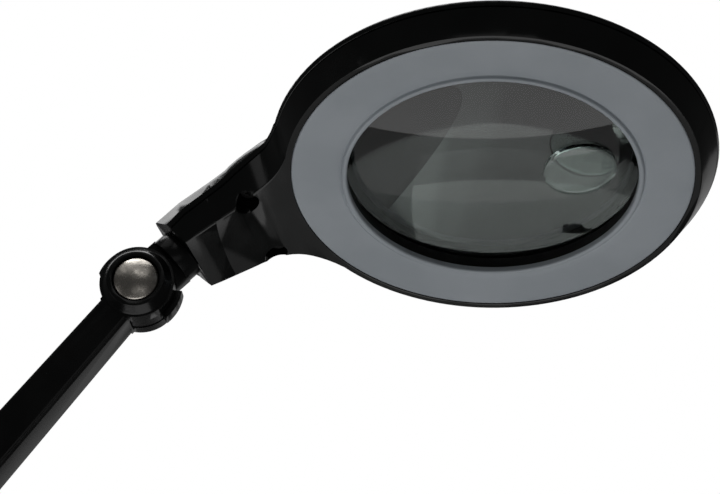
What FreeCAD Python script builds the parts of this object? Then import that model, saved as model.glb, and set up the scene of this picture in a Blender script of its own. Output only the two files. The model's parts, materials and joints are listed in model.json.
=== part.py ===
import FreeCAD, Part
import math
import os

from FreeCAD import Matrix, Placement, Rotation, Vector

# Magnifying desk lamp: round lit head with a big lens, neck, roll joint, tilt knuckle,
# two box-section arms, swivel post and table clamp. Millimetres, +Z up.
# Origin: on the swivel post's axis, in the seat face that rests on the table.

# ---- where the joints stand at rest -------------------------------------------------
LOWER_ARM = 330.0          # shoulder pivot to elbow pivot
UPPER_ARM = 330.0          # elbow pivot to knuckle pivot
LOWER_LEAN = 110.0         # direction of the lower arm, degrees above +X, seen from the front
UPPER_LEAN = 52.5          # direction of the upper arm
TONGUE_LEAN = 44.2         # direction of the roll axis, knuckle to head
HEAD_ROLL = 22.8           # head turned about the roll axis from its level pose
ROLL_TO_LENS = 41.0        # angle between the roll axis and the lens plane
SHOULDER_Z = 62.0          # shoulder pivot above the table
PIVOT_BACK = 153.4         # knuckle pivot behind the lens centre, along the lens plane
PIVOT_DROP = 22.6          # knuckle pivot below the lens plane

# ---- head ---------------------------------------------------------------------------
LAND_R = 85.0              # outer edge of the flat land around the diffuser
PARTING_R = 90.6           # lens-side shell at the parting line
RIM_R = 91.8               # widest point of the head
RIM_Z = 12.4
PARTING_Z = 9.8            # top of the lens-side shell
SHELL_GAP = 0.6            # shadow gap between the two shells
HEAD_TOP = 22.5
BEVEL = 12.4               # the rear shell slopes in by this much between the rim and its flat top
NECK_BEVEL = 8.6           # the same along the neck
ROOT_FULL = 4.6            # the slope is this much less where the neck leaves the ring
RIM_SHIFT = 0.8            # the outer wall is fuller on the side away from the neck
TOP_ROUND = 20.0           # rounding where that slope meets the top
SHELL_WALL = 2.3
DIFFUSER_R = 82.2
OPENING_R = 59.2           # inside of the diffuser
LENS_R = 63.5              # a five-inch lens
LENS_SPHERE = 348.0        # radius of both faces: three dioptres
LENS_EDGE_Z = 8.4          # lower rim of the lens edge
LENS_EDGE = 2.4            # thickness of the lens edge
INSERT_R = 15.0
INSERT_OUT = 35.6          # insert's centre from the big lens's centre
INSERT_TURN = 14.2         # and its direction, degrees from +X
INSERT_THICK = 2.4
LED_COUNT = 60
BOARD_Z = 5.2
DRIVER_Z = 11.6
BOARD_SCREWS = 6
COVER_R = 70.4             # dust cover
COVER_Z = 22.8
COVER_THICK = 2.2
HINGE_X = 77.4             # dust cover hinge, on the far side from the neck
HINGE_Z = 25.7
EAR_R = 2.8                # hinge ears on the rear shell
EAR_WIDTH = 3.2
SWITCH_X = -82.5
BUTTON_R = 3.6

# ---- neck ---------------------------------------------------------------------------
NECK_SLOPE = 24.0          # the neck bends this far towards the lens side
BEND_X = -87.0             # where the bend starts
BEND_R = 30.0
SEAM_T = 19.7              # along the slope: outermost point of the end cover's curved seam
SEAM_R = 128.0             # radius of the seam
SEAM_GAP = 0.02
SEAM_SIDE = 14.4           # and how far to one side its centre lies
NECK_T = 44.0              # along the slope: past the neck's end
MOUTH_X = 128.0            # where the neck's end widths are given
MOUTH_HALF = 15.2          # half width of the neck's lens side there
MOUTH_BACK = 17.4          # and of its parting line
MOUTH_TOP = 28.0           # height of the neck near its end
FLARE = (112.0, 59.0)      # centre of the flare arc on the lens side: behind and beside the lens centre
BACK_FLARE = (118.0, 66.8)  # and of the parting line's
SCREW_X = -100.0
SCREW_Y = 17.2
SCREW_SEAT = 5.2           # height of the seat under the neck screws' heads
MOUTH_L = 24.6             # end face of the neck, square to the roll axis, from the knuckle pivot
MOUTH_HOLE = 8.6
SCREW_BORE = 4.7           # recess around each neck screw's head
SHELL_BORE = 71.6          # inner edge of the rear shell's hollow
BOARD_SCREW_R = 76.0       # circle of the LED board's screws
BARREL_SCREW_R = 69.0      # circle of the lens barrel's screws
THREAD_HOLE = 1.25         # hole a small screw cuts its thread in

# ---- knuckle, elbow and shoulder (one pattern) --------------------------------------
CHEEK_R = 15.6
EYE_R = 15.3
EYE_HALF = 3.0             # half thickness of the eye between the cheeks
SLOT_HALF = 3.6            # half width of the slot between the cheeks
FORK_HALF = 9.2            # half depth of a fork
COLLAR_R = 12.0            # top of the tapered collar on each cheek
COLLAR_BASE = 14.6
COLLAR_H = 4.0
CAP_R = 9.5
CAP_RISE = 3.0
SEAT_Y = 7.4               # seat of the bolt head and of the nut
BOLT_R = 4.0
RUN_CLEAR = 0.05           # radial clearance of a running fit
LUG_R = 18.2               # stop lugs on the knuckle's eye
TONGUE_R = 10.8            # round part of the tongue, on the roll axis
TONGUE_START = 17.4
TONGUE_WAIST = 8.2         # thinner part that passes through the neck's end
TONGUE_END = 37.5
SPINDLE_R = 4.0

# ---- arms ---------------------------------------------------------------------------
NOSE_X = 7.2               # half width of an arm casting at its pivot end
TUBE_X = 8.6               # half width of the arm tubes
TUBE_Y = 10.4              # half depth of the arm tubes
TUBE_WALL = 1.6
EDGE_ROUND = 2.2
LONG_NOSE = 100.0          # knuckle casting, from its pivot
SHORT_NOSE = 60.0          # elbow and shoulder castings
PLUG = 22.0
PIN_R = 1.5
INLET_R = 4.6              # low-voltage socket in the shoulder casting
INLET_Z = 44.0

# ---- clamp --------------------------------------------------------------------------
POST_R = 6.0
POST_TOP = 36.0
BUSH_R = 7.6
JAW_X = 21.0
JAW_THICK = 8.0
SPINE_Y = -20.0            # back of the clamp's spine
THROAT = 62.0              # clear height between the jaws
SCREW_AXIS_Y = 16.0
SCREW_R = 5.0
HANDLE_R = 3.0
HANDLE_HALF = 31.0         # half length of the clamp's handle
HANDLE_Z = -119.0
PAD_Z = -30.0              # top of the pad at rest
PAD_R = 13.0

X_AXIS = Vector(1, 0, 0)
Y_AXIS = Vector(0, 1, 0)
Z_AXIS = Vector(0, 0, 1)


# ---- helpers ------------------------------------------------------------------------
def direction(degrees):
    """Unit vector in the XZ plane, measured from +X towards +Z."""
    turn = math.radians(degrees)
    return Vector(math.cos(turn), 0, math.sin(turn))


def frame(origin, z_axis):
    """Local frame whose Y stays the world's Y and whose Z runs along z_axis."""
    x_axis = Y_AXIS.cross(z_axis)
    rows = []
    for k in range(3):
        rows += [x_axis[k], Y_AXIS[k], z_axis[k], origin[k]]
    return Placement(Matrix(*rows, 0, 0, 0, 1))


def placed(shape, placement):
    moved = shape.copy()
    moved.transformShape(placement.toMatrix(), True)
    return moved


def tube(outer, low, high, inner=0.0):
    """Cylinder or ring on the Z axis."""
    solid = Part.makeCylinder(outer, high - low, Vector(0, 0, low))
    if inner:
        solid = solid.cut(Part.makeCylinder(inner, high - low, Vector(0, 0, low)))
    return solid


def rod_y(radius, low, high, x=0.0, z=0.0):
    """Cylinder along Y."""
    return Part.makeCylinder(radius, high - low, Vector(x, low, z), Y_AXIS)


def block(x0, x1, y0, y1, z0, z1):
    return Part.makeBox(x1 - x0, y1 - y0, z1 - z0, Vector(x0, y0, z0))


def rounded_wire(corners):
    """Closed wire through (point, radius) corners, each rounded by its radius."""
    parts = []
    for i, (point, radius) in enumerate(corners):
        before = (corners[i - 1][0] - point).normalize()
        after = (corners[(i + 1) % len(corners)][0] - point).normalize()
        if radius == 0:
            parts.append((point, None, point))
            continue
        half = before.getAngle(after) / 2
        middle = (before + after).normalize()
        reach = radius / math.tan(half)
        crown = point + middle * (radius / math.sin(half) - radius)
        parts.append((point + before * reach, crown, point + after * reach))
    edges = []
    for i, (start, crown, end) in enumerate(parts):
        following = parts[(i + 1) % len(parts)][0]
        if crown is not None:
            edges.append(Part.Arc(start, crown, end).toShape())
        if end.distanceToPoint(following) > 1e-6:
            edges.append(Part.makeLine(end, following))
    return Part.Wire(edges)


def revolved(corners):
    """Solid of revolution about Z from (r, z) or (r, z, rounding) corners."""
    points = [(Vector(c[0], 0, c[1]), c[2] if len(c) > 2 else 0) for c in corners]
    return Part.Face(rounded_wire(points)).revolve(Vector(0, 0, 0), Z_AXIS, 360)


def hex_prism(flats, low, high):
    points = []
    for k in range(7):
        turn = math.radians(60 * k)
        points.append(Vector(math.cos(turn), math.sin(turn), 0) * (flats / math.sqrt(3)) + Vector(0, 0, low))
    return Part.Face(Part.makePolygon(points)).extrude(Vector(0, 0, high - low))


def on_y(shape, forward):
    """Turns a shape built on +Z so that its Z runs along +Y, or along -Y."""
    return placed(shape, Placement(Vector(0, 0, 0), Rotation(X_AXIS, -90 if forward else 90)))


def ring_of(shape, count, phase=0.0):
    """Copies of a shape, turned evenly about the Z axis."""
    copies = []
    for k in range(count):
        turn = Placement(Vector(0, 0, 0), Rotation(Z_AXIS, phase + 360.0 * k / count))
        copies.append(placed(shape, turn))
    return copies


def save(name, shape, placement=None):
    solids = shape if isinstance(shape, list) else [shape]
    solids = [s for item in solids for s in item.Solids]
    if placement is not None:
        solids = [placed(s, placement) for s in solids]
    result = solids[0] if len(solids) == 1 else Part.makeCompound(solids)
    result.exportStep("parts/" + name + ".step")


# ---- frames of the moving pieces ----------------------------------------------------
SHOULDER = Vector(0, 0, SHOULDER_Z)
ELBOW = SHOULDER + direction(LOWER_LEAN) * LOWER_ARM
KNUCKLE = ELBOW + direction(UPPER_LEAN) * UPPER_ARM
LOWER_FROM_SHOULDER = frame(SHOULDER, direction(LOWER_LEAN))
LOWER_FROM_ELBOW = frame(ELBOW, direction(LOWER_LEAN) * -1)
UPPER_FROM_ELBOW = frame(ELBOW, direction(UPPER_LEAN))
UPPER_FROM_KNUCKLE = frame(KNUCKLE, direction(UPPER_LEAN) * -1)
TONGUE_FRAME = frame(KNUCKLE, direction(TONGUE_LEAN))


def head_placement():
    """Head frame: origin at the lens centre in the lens-side plane, neck towards -X, rear towards +Z."""
    level = Placement(Vector(0, 0, 0), Rotation(Y_AXIS, ROLL_TO_LENS - TONGUE_LEAN))
    roll = Placement(Vector(0, 0, 0), Rotation(direction(TONGUE_LEAN), -HEAD_ROLL))
    from_pivot = Placement(Vector(PIVOT_BACK, 0, PIVOT_DROP), Rotation())
    return Placement(KNUCKLE, Rotation()).multiply(roll).multiply(level).multiply(from_pivot)


HEAD_FRAME = head_placement()
# The tongue's frame seen from the head, for what sits in the neck on the roll axis.
ROLL_AXIS = Vector(math.cos(math.radians(ROLL_TO_LENS)), 0, math.sin(math.radians(ROLL_TO_LENS)))
ROLL_IN_HEAD = frame(Vector(-PIVOT_BACK, 0, -PIVOT_DROP), ROLL_AXIS)


# ---- neck sections ------------------------------------------------------------------
def neck_path(t):
    """Point of the neck's lens-side centre line, its up direction, for t along the path.

    t is negative in the flat part, zero where the straight slope starts."""
    slope = math.radians(NECK_SLOPE)
    bend_length = BEND_R * slope
    if t < -bend_length:
        return Vector(BEND_X - (t + bend_length), 0, 0), Z_AXIS
    if t < 0:
        turn = (t + bend_length) / BEND_R
        point = Vector(BEND_X - BEND_R * math.sin(turn), 0, BEND_R * (math.cos(turn) - 1))
        return point, Vector(-math.sin(turn), 0, math.cos(turn))
    end, up = neck_path(-1e-9)
    return end + Vector(-math.cos(slope), 0, -math.sin(slope)) * t, up


def flare_half(x, ring_r, centre_x, centre_y, narrow_half):
    """Half width of the plan outline: ring, then a hollow flare arc, then a straight taper."""
    reach = math.hypot(centre_x, centre_y)
    arc_r = reach - ring_r
    tangent_x = centre_x * ring_r / reach
    if -x < tangent_x:
        return math.sqrt((ring_r - 1.0) ** 2 - x * x)
    if -x < centre_x:
        return centre_y - math.sqrt(arc_r ** 2 - (centre_x + x) ** 2)
    share = (-x - centre_x) / (MOUTH_X - centre_x)
    start = centre_y - arc_r
    return start + (narrow_half - start) * share


def corner_half(x):
    return flare_half(x, LAND_R, *FLARE, MOUTH_HALF)


def parting_half(x):
    return flare_half(x, PARTING_R, *BACK_FLARE, MOUTH_BACK)


def ramp(value, start, end):
    """0 before start, 1 past end and even between them."""
    return min(max((value - start) / (end - start), 0.0), 1.0)


def neck_top(t):
    """Height of the neck's back above its lens side."""
    return HEAD_TOP + (MOUTH_TOP - HEAD_TOP) * ramp(t, -9, 36)


def lower_outline(x, inset, top):
    """(y, height, rounding) corners across the lens-side shell."""
    low = corner_half(x) - inset
    high = parting_half(x) - inset
    return [(-low, inset, 1.4), (low, inset, 1.4), (high, top, 0), (-high, top, 0)]


def upper_outline(x, inset, top):
    """(y, height, rounding) corners across the rear shell."""
    low = parting_half(x) + 0.3 - inset
    rim = low + 0.9
    bevel = NECK_BEVEL - ROOT_FULL * ramp(x, -116, -96) + 16.5 * ramp(x, -88, -74.5)
    crest = rim - bevel + inset * 0.4
    side = math.hypot(bevel, top - RIM_Z)
    turn = math.atan2(top - RIM_Z, bevel)
    crown = min(TOP_ROUND, crest * 0.75, 0.8 * side / math.tan(turn / 2)) - inset
    foot = PARTING_Z + SHELL_GAP - (1.0 if inset else 0.0)
    half = [(low, foot, 0), (rim, RIM_Z, 0), (crest, top - inset, crown)]
    return [(-y, height, r) for y, height, r in reversed(half)] + half


def neck_loft(outline, inset, top):
    """Solid through the neck's sections, from inside the ring to past the neck's end."""
    bend = BEND_R * math.radians(NECK_SLOPE)
    stations = [-bend - 12.5 + 2.5 * k for k in range(12)] + [7, 12, 26, NECK_T]
    wires = []
    for t in stations:
        point, up = neck_path(t)
        corners = [(point + Y_AXIS * c[0] + up * c[1], c[2]) for c in outline(point.x, inset, top(t))]
        wires.append(rounded_wire(corners))
    return Part.makeLoft(wires, True, True)


def beyond_seam(gap):
    """Space past the curved seam across the neck where the end cover begins."""
    point, up = neck_path(SEAM_T)
    cell = block(-80, 30, -60, 60, -60, 60)
    inner_side = Part.makeCylinder(SEAM_R + gap, 120, Vector(SEAM_R, SEAM_SIDE, -60))
    return placed(cell.cut(inner_side), Placement(point, Rotation(Y_AXIS, -NECK_SLOPE)))


def past_mouth(wall):
    """Half space past the neck's end face, or past the inner side of its end wall."""
    return placed(block(-60, 60, -60, 60, -60, MOUTH_L + wall), ROLL_IN_HEAD)


def mouth_hole():
    return placed(tube(MOUTH_HOLE, MOUTH_L - 5, MOUTH_L + 8), ROLL_IN_HEAD)


# ---- head ---------------------------------------------------------------------------
def screw_posts(low, high, radius):
    posts = [Part.makeCylinder(radius, high - low, Vector(SCREW_X, y, low)) for y in (-SCREW_Y, SCREW_Y)]
    return posts[0].fuse(posts[1])


def inside_ring(radius):
    return tube(radius, -20, 60)


def lower_shell_whole():
    """Lens-side shell with the neck's lens side, before the end cover is parted off."""
    circles = [Part.Wire(Part.makeCircle(radius, Vector(shift, 0, height)))
               for radius, height, shift in ((LAND_R, 0, 0), (PARTING_R, PARTING_Z, RIM_SHIFT))]
    disc = Part.makeLoft(circles, True, True)
    neck = neck_loft(lower_outline, 0, lambda t: PARTING_Z)
    outside = disc.fuse(neck).cut(past_mouth(0))
    ledge = DIFFUSER_R - 1.8
    hollow = revolved([
        (0, -1), (DIFFUSER_R + 0.15, -1), (DIFFUSER_R + 0.15, 1.95), (ledge, 1.95), (ledge, 3.6),
        (LAND_R - 1.2, 3.6), (PARTING_R - SHELL_WALL - 0.3, PARTING_Z + 1), (0, PARTING_Z + 1)])
    neck_hollow = neck_loft(lower_outline, SHELL_WALL, lambda t: PARTING_Z + 1)
    neck_hollow = neck_hollow.cut(inside_ring(80.4)).cut(past_mouth(SHELL_WALL))
    shell = outside.cut(hollow).cut(neck_hollow)
    shell = shell.fuse(screw_posts(-6, PARTING_Z, 6.2).common(outside))
    shell = shell.cut(screw_posts(-12, SCREW_SEAT, SCREW_BORE)).cut(screw_posts(0, PARTING_Z + 1, 1.7))
    return shell.cut(mouth_hole())


def lower_housing(whole):
    return whole.cut(beyond_seam(0))


def neck_end_cover(whole):
    return whole.common(beyond_seam(SEAM_GAP))


def upper_housing():
    """Rear shell: sloping wall, top, collar for the lens barrel, neck back, bosses and hinge ears."""
    low = PARTING_Z + SHELL_GAP
    crest = RIM_R - BEVEL
    disc = revolved([
        (0, low), (PARTING_R + 0.3, low), (RIM_R, RIM_Z, 1.0), (crest, HEAD_TOP, TOP_ROUND), (0, HEAD_TOP)])
    disc.translate(X_AXIS * RIM_SHIFT)
    outside = disc.fuse(neck_loft(upper_outline, 0, neck_top)).cut(past_mouth(0))
    roof = HEAD_TOP - SHELL_WALL
    hollow = revolved([
        (SHELL_BORE, low - 1), (PARTING_R - SHELL_WALL, low - 1), (RIM_R - SHELL_WALL - 0.6, RIM_Z),
        (crest - 1.0, roof, TOP_ROUND - SHELL_WALL), (SHELL_BORE, roof)])
    hollow.translate(X_AXIS * RIM_SHIFT)
    opening = tube(66.5, low - 1, HEAD_TOP + 1)
    room = tube(SHELL_BORE + 0.1, low - 1, 15.1)
    neck_hollow = neck_loft(upper_outline, SHELL_WALL, neck_top)
    neck_hollow = neck_hollow.cut(inside_ring(76)).cut(past_mouth(SHELL_WALL))
    shell = outside.cut(hollow).cut(opening).cut(room).cut(neck_hollow)
    lip = revolved([(85.4, 8.6), (86.2, 8.6), (87.0, 10.0), (89.8, 12.4), (85.4, 12.4)])
    shell = shell.fuse(lip.cut(block(-100, -50, -62, 62, 0, 20)))
    shell = shell.fuse(screw_posts(low, HEAD_TOP, 4.0).common(outside)).cut(screw_posts(low - 1, 17, THREAD_HOLE))
    for boss in ring_of(Part.makeCylinder(2.6, 13.6, Vector(BOARD_SCREW_R, 0, 6.4)), BOARD_SCREWS, 30):
        shell = shell.fuse(boss)
    for hole in ring_of(Part.makeCylinder(THREAD_HOLE, 10, Vector(BOARD_SCREW_R, 0, 5)), BOARD_SCREWS, 30):
        shell = shell.cut(hole)
    for hole in ring_of(Part.makeCylinder(1.0, 9, Vector(BARREL_SCREW_R, 0, 12)), BOARD_SCREWS, 0):
        shell = shell.cut(hole)
    for side in (-1, 1):
        shell = shell.fuse(Part.makeCylinder(1.8, 8, Vector(-90.5, side * 12.0, DRIVER_Z + 1.4)))
        rib_y = sorted((side * 10.0, side * 20.0))
        rib = placed(block(-2, 3, *rib_y, TONGUE_END + 2.5, TONGUE_END + 6), ROLL_IN_HEAD)
        shell = shell.fuse(rib.common(outside))
    shell = shell.cut(mouth_hole())
    shell = shell.cut(Part.makeCylinder(BUTTON_R + 2.0, 12, Vector(SWITCH_X, 0, HEAD_TOP - 8)))
    for y in (-9.4, 6.2):
        ear = rod_y(EAR_R, y, y + EAR_WIDTH, HINGE_X, HINGE_Z)
        foot = block(HINGE_X - EAR_R, HINGE_X + EAR_R, y, y + EAR_WIDTH, HEAD_TOP - 2, HINGE_Z)
        shell = shell.fuse(ear).fuse(foot)
    return shell.cut(rod_y(1.25, -12, 12, HINGE_X, HINGE_Z))


def diffuser_ring():
    """Milky ring with a raised, rounded inner lip and a fine groove beside it."""
    return revolved([
        (61.9, 0.1), (62.3, 0.5), (62.7, 0.1), (DIFFUSER_R, 0.1), (DIFFUSER_R, 1.9), (OPENING_R, 1.9),
        (OPENING_R, -0.9, 0.8), (61.9, -0.9, 1.1)])


def led_board():
    board = tube(79.6, BOARD_Z, BOARD_Z + 1.0, 63.4)
    for hole in ring_of(Part.makeCylinder(1.35, 3, Vector(BOARD_SCREW_R, 0, BOARD_Z - 1)), BOARD_SCREWS, 30):
        board = board.cut(hole)
    return board


def leds():
    led = block(68.2, 71.0, -1.4, 1.4, BOARD_Z - 0.8, BOARD_Z)
    return ring_of(led, LED_COUNT)


def board_screws():
    screw = tube(1.2, BOARD_Z - 0.2, BOARD_Z + 7).fuse(tube(2.3, BOARD_Z - 1.4, BOARD_Z - 0.05))
    screw.translate(X_AXIS * BOARD_SCREW_R)
    return ring_of(screw, BOARD_SCREWS, 30)


def driver_board():
    """Small supply board in the neck root, under the rear shell's back."""
    board = block(-93, -80, -16, 16, DRIVER_Z, DRIVER_Z + 1.4)
    coil = Part.makeCylinder(2.4, 3.0, Vector(-84, -12, DRIVER_Z + 1.4))
    capacitor = Part.makeCylinder(2.0, 3.4, Vector(-84, 12, DRIVER_Z + 1.4))
    chip = block(-88.5, -84.5, -2, 2, DRIVER_Z - 1.2, DRIVER_Z)
    return [board, coil, capacitor, chip]


def inner_barrel():
    """Black barrel inside the lit ring; its shelf carries the lens."""
    barrel = revolved([
        (60.0, 2.2), (61.8, 2.2), (61.8, 6.5), (66.2, 6.5), (66.2, 13.2), (71.2, 13.2), (71.2, 15.0),
        (64.4, 15.0), (64.4, 7.2), (60.0, 7.2)])
    for hole in ring_of(Part.makeCylinder(THREAD_HOLE, 6, Vector(BARREL_SCREW_R, 0, 11)), BOARD_SCREWS, 0):
        barrel = barrel.cut(hole)
    return barrel


def barrel_screws():
    screw = tube(0.95, 13.0, 20.0).fuse(tube(1.9, 11.8, 13.15))
    screw.translate(X_AXIS * BARREL_SCREW_R)
    return ring_of(screw, BOARD_SCREWS, 0)


def lens():
    """Biconvex lens."""
    sagitta = LENS_SPHERE - math.sqrt(LENS_SPHERE ** 2 - LENS_R ** 2)
    low_centre = Vector(0, 0, LENS_EDGE_Z - sagitta + LENS_SPHERE)
    high_centre = Vector(0, 0, LENS_EDGE_Z + LENS_EDGE + sagitta - LENS_SPHERE)
    midway = math.asin(LENS_R / LENS_SPHERE) / 2
    low = Part.Arc(
        Vector(0, 0, LENS_EDGE_Z - sagitta),
        low_centre + Vector(math.sin(midway), 0, -math.cos(midway)) * LENS_SPHERE,
        Vector(LENS_R, 0, LENS_EDGE_Z)).toShape()
    high = Part.Arc(
        Vector(LENS_R, 0, LENS_EDGE_Z + LENS_EDGE),
        high_centre + Vector(math.sin(midway), 0, math.cos(midway)) * LENS_SPHERE,
        Vector(0, 0, LENS_EDGE_Z + LENS_EDGE + sagitta)).toShape()
    edge = Part.makeLine(Vector(LENS_R, 0, LENS_EDGE_Z), Vector(LENS_R, 0, LENS_EDGE_Z + LENS_EDGE))
    top = Vector(0, 0, LENS_EDGE_Z + LENS_EDGE + sagitta)
    axis = Part.makeLine(top, Vector(0, 0, LENS_EDGE_Z - sagitta))
    return Part.Face(Part.Wire([low, edge, high, axis])).revolve(Vector(0, 0, 0), Z_AXIS, 360)


def lens_insert(whole_lens):
    """Strong little lens bonded to the big one's lens-side face, square to that face."""
    tilt = math.degrees(math.asin(INSERT_OUT / LENS_SPHERE))
    surface_z = LENS_EDGE_Z - (LENS_R ** 2 - INSERT_OUT ** 2) / (2 * LENS_SPHERE)
    bulge = 90.0
    disc = tube(INSERT_R, -INSERT_THICK, 4.0)
    disc = disc.common(Part.makeSphere(bulge, Vector(0, 0, bulge - INSERT_THICK - 0.9)))
    out = Placement(Vector(INSERT_OUT, 0, surface_z), Rotation(Y_AXIS, -tilt))
    turn = Placement(Vector(0, 0, 0), Rotation(Z_AXIS, INSERT_TURN))
    return placed(disc, turn.multiply(out)).cut(whole_lens).Solids[0]


def lens_seal():
    return revolved([(61.5, 7.2), (64.2, 7.2), (64.2, 11.2), (63.65, 11.2), (63.65, 8.0), (61.5, 8.0)])


def lens_retainer():
    return tube(64.3, 11.6, 14.0, 60.6)


def neck_screws():
    screws = []
    for y in (-SCREW_Y, SCREW_Y):
        shank = Part.makeCylinder(1.2, 11.4, Vector(SCREW_X, y, SCREW_SEAT - 0.2))
        low = SCREW_SEAT - 2.05
        head = Part.makeCylinder(3.3, 2.0, Vector(SCREW_X, y, low))
        cross = block(SCREW_X - 1.7, SCREW_X + 1.7, y - 0.35, y + 0.35, low - 1, low + 1)
        other = block(SCREW_X - 0.35, SCREW_X + 0.35, y - 1.7, y + 1.7, low - 1, low + 1)
        screws.append(head.fuse(shank).cut(cross).cut(other))
    return screws


def switch_bezel():
    bezel = tube(BUTTON_R + 1.9, HEAD_TOP - 6, HEAD_TOP + 0.1, BUTTON_R + 0.35)
    rim = tube(BUTTON_R + 2.9, HEAD_TOP + 0.1, HEAD_TOP + 0.9, BUTTON_R + 0.35)
    floor = tube(BUTTON_R + 1.9, HEAD_TOP - 7.4, HEAD_TOP - 6)
    bezel = bezel.fuse(rim).fuse(floor)
    bezel.translate(Vector(SWITCH_X, 0, 0))
    return bezel


def switch_button():
    button = revolved([(0, HEAD_TOP - 3.6), (BUTTON_R, HEAD_TOP - 3.6), (BUTTON_R, HEAD_TOP + 2.4, 0.8),
                       (0, HEAD_TOP + 2.4)])
    button.translate(Vector(SWITCH_X, 0, 0))
    return button


def flip_cover():
    """Shallow lid over the lens's rear, hinged opposite the neck, with a finger lip."""
    top = COVER_Z + COVER_THICK
    lid = revolved([(0, COVER_Z), (COVER_R, COVER_Z), (COVER_R, top, 1.4), (0, top)])
    hollow = [(0, COVER_Z - 1), (64.5, COVER_Z - 1), (64.5, COVER_Z + 0.7), (0, COVER_Z + 0.7)]
    lid = lid.cut(revolved(hollow))
    tab = block(60, HINGE_X, -5.9, 5.9, COVER_Z + 0.9, top)
    barrel = rod_y(2.6, -5.9, 5.9, HINGE_X, HINGE_Z)
    lip = block(-73.6, -66, -9, 9, COVER_Z + 0.4, top)
    whole = lid.fuse(tab).fuse(barrel).fuse(lip)
    return whole.cut(rod_y(1.3, -12, 12, HINGE_X, HINGE_Z))


def cover_pin():
    return rod_y(1.23, -9.6, 9.6, HINGE_X, HINGE_Z)


# ---- roll joint (in the tongue's frame, Z on the roll axis) ---------------------------
def roll_plate():
    """Steel plate across the inside of the neck that the spindle turns in."""
    low, high = TONGUE_END + 0.5, TONGUE_END + 2.5
    plate = tube(9.0, low, high).fuse(block(-1.5, 8.0, -12.6, 12.6, low, high))
    return plate.cut(tube(SPINDLE_R + RUN_CLEAR, 0, 60))


def roll_washers():
    front = tube(9.0, TONGUE_END + 0.05, TONGUE_END + 0.45, SPINDLE_R + RUN_CLEAR)
    back = tube(7.0, TONGUE_END + 2.55, TONGUE_END + 3.5, SPINDLE_R + RUN_CLEAR)
    return [front, back]


def roll_nut():
    nut = hex_prism(10.0, TONGUE_END + 3.6, TONGUE_END + 7.2)
    return nut.cut(tube(SPINDLE_R + 0.02, 0, 60))


def knuckle_tongue():
    """Eye with two stop lugs, then the round tongue and its spindle."""
    eye = rod_y(EYE_R, -EYE_HALF, EYE_HALF)
    web = block(-TONGUE_R, TONGUE_R, -EYE_HALF, EYE_HALF, 0, TONGUE_START + 1)
    stem = tube(TONGUE_R, TONGUE_START, MOUTH_L - 0.4).fuse(tube(TONGUE_WAIST, MOUTH_L - 1, TONGUE_END))
    spindle = tube(SPINDLE_R, TONGUE_END - 1, TONGUE_END + 9)
    body = eye.fuse(web).fuse(stem).fuse(spindle)
    for start, end in ((118, 160), (311, 355)):
        body = body.fuse(stop_lug(start - TONGUE_LEAN, end - TONGUE_LEAN))
    return body.cut(rod_y(BOLT_R + RUN_CLEAR, -20, 20))


def stop_lug(start, end):
    """Sector of the eye out to the lug radius, angles from the local Z towards local -X."""
    centre = Vector(0, -EYE_HALF, 0)
    points = []
    for degrees in (start, (start + end) / 2, end):
        turn = math.radians(degrees)
        points.append(centre + Vector(-math.sin(turn), 0, math.cos(turn)) * LUG_R)
    arc = Part.Arc(*points).toShape()
    sides = [Part.makeLine(points[2], centre), Part.makeLine(centre, points[0])]
    return Part.Face(Part.Wire([arc] + sides)).extrude(Y_AXIS * (2 * EYE_HALF))


# ---- arm castings, in a frame with the pivot at the origin and the arm along +Z --------
def box_section(half_x, half_y, z, rounding):
    corners = [(-half_x, -half_y), (half_x, -half_y), (half_x, half_y), (-half_x, half_y)]
    return rounded_wire([(Vector(x, y, z), rounding) for x, y in corners])


def nose(start, end):
    """Tapered casting body, ending at the tube's section, with a plug for the tube."""
    share = (start - 16.0) / (LONG_NOSE - 16.0)
    half_x = NOSE_X + (TUBE_X - NOSE_X) * share
    half_y = FORK_HALF + (TUBE_Y - FORK_HALF) * share
    wires = [box_section(half_x, half_y, start, EDGE_ROUND), box_section(TUBE_X, TUBE_Y, end, EDGE_ROUND)]
    body = Part.makeLoft(wires, True, True)
    plug = Part.Face(box_section(TUBE_X - TUBE_WALL - 0.1, TUBE_Y - TUBE_WALL - 0.1, end - 1, 1.0))
    body = body.fuse(plug.extrude(Vector(0, 0, PLUG + 1)))
    channel = tube(3.6, start + 18, end + PLUG + 1)
    return body.cut(channel)


def pin_holes(end):
    return rod_y(PIN_R + 0.02, -30, 30, 0, end + PLUG / 2)


def fork(end):
    """Casting with two cheeks, collars and counterbores around an eye."""
    body = nose(14.0, end)
    for side in (-1, 1):
        inner, outer = sorted((side * SLOT_HALF, side * FORK_HALF))
        body = body.fuse(rod_y(CHEEK_R, inner, outer))
        body = body.fuse(block(-NOSE_X, NOSE_X, inner, outer, 0, 15))
        collar = revolved([
            (0, FORK_HALF - 1), (COLLAR_BASE, FORK_HALF - 1), (COLLAR_BASE, FORK_HALF, 0),
            (COLLAR_R, FORK_HALF + COLLAR_H, 0.8), (0, FORK_HALF + COLLAR_H)])
        body = body.fuse(on_y(collar, side > 0))
    body = body.cut(rod_y(EYE_R + 0.5, -SLOT_HALF, SLOT_HALF))
    for side in (-1, 1):
        low, high = sorted((side * SEAT_Y, side * 20.0))
        body = body.cut(rod_y(CAP_R + 0.5, low, high))
    return body.cut(rod_y(BOLT_R + 0.02, -20, 20)).cut(pin_holes(end))


def eye_casting(end):
    """Casting with a flat eye that fits between two cheeks."""
    body = nose(TONGUE_START, end)
    body = body.fuse(rod_y(EYE_R, -EYE_HALF, EYE_HALF))
    body = body.fuse(block(-NOSE_X, NOSE_X, -EYE_HALF, EYE_HALF, 0, TONGUE_START + 1))
    return body.cut(rod_y(BOLT_R + RUN_CLEAR, -20, 20)).cut(pin_holes(end))


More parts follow.
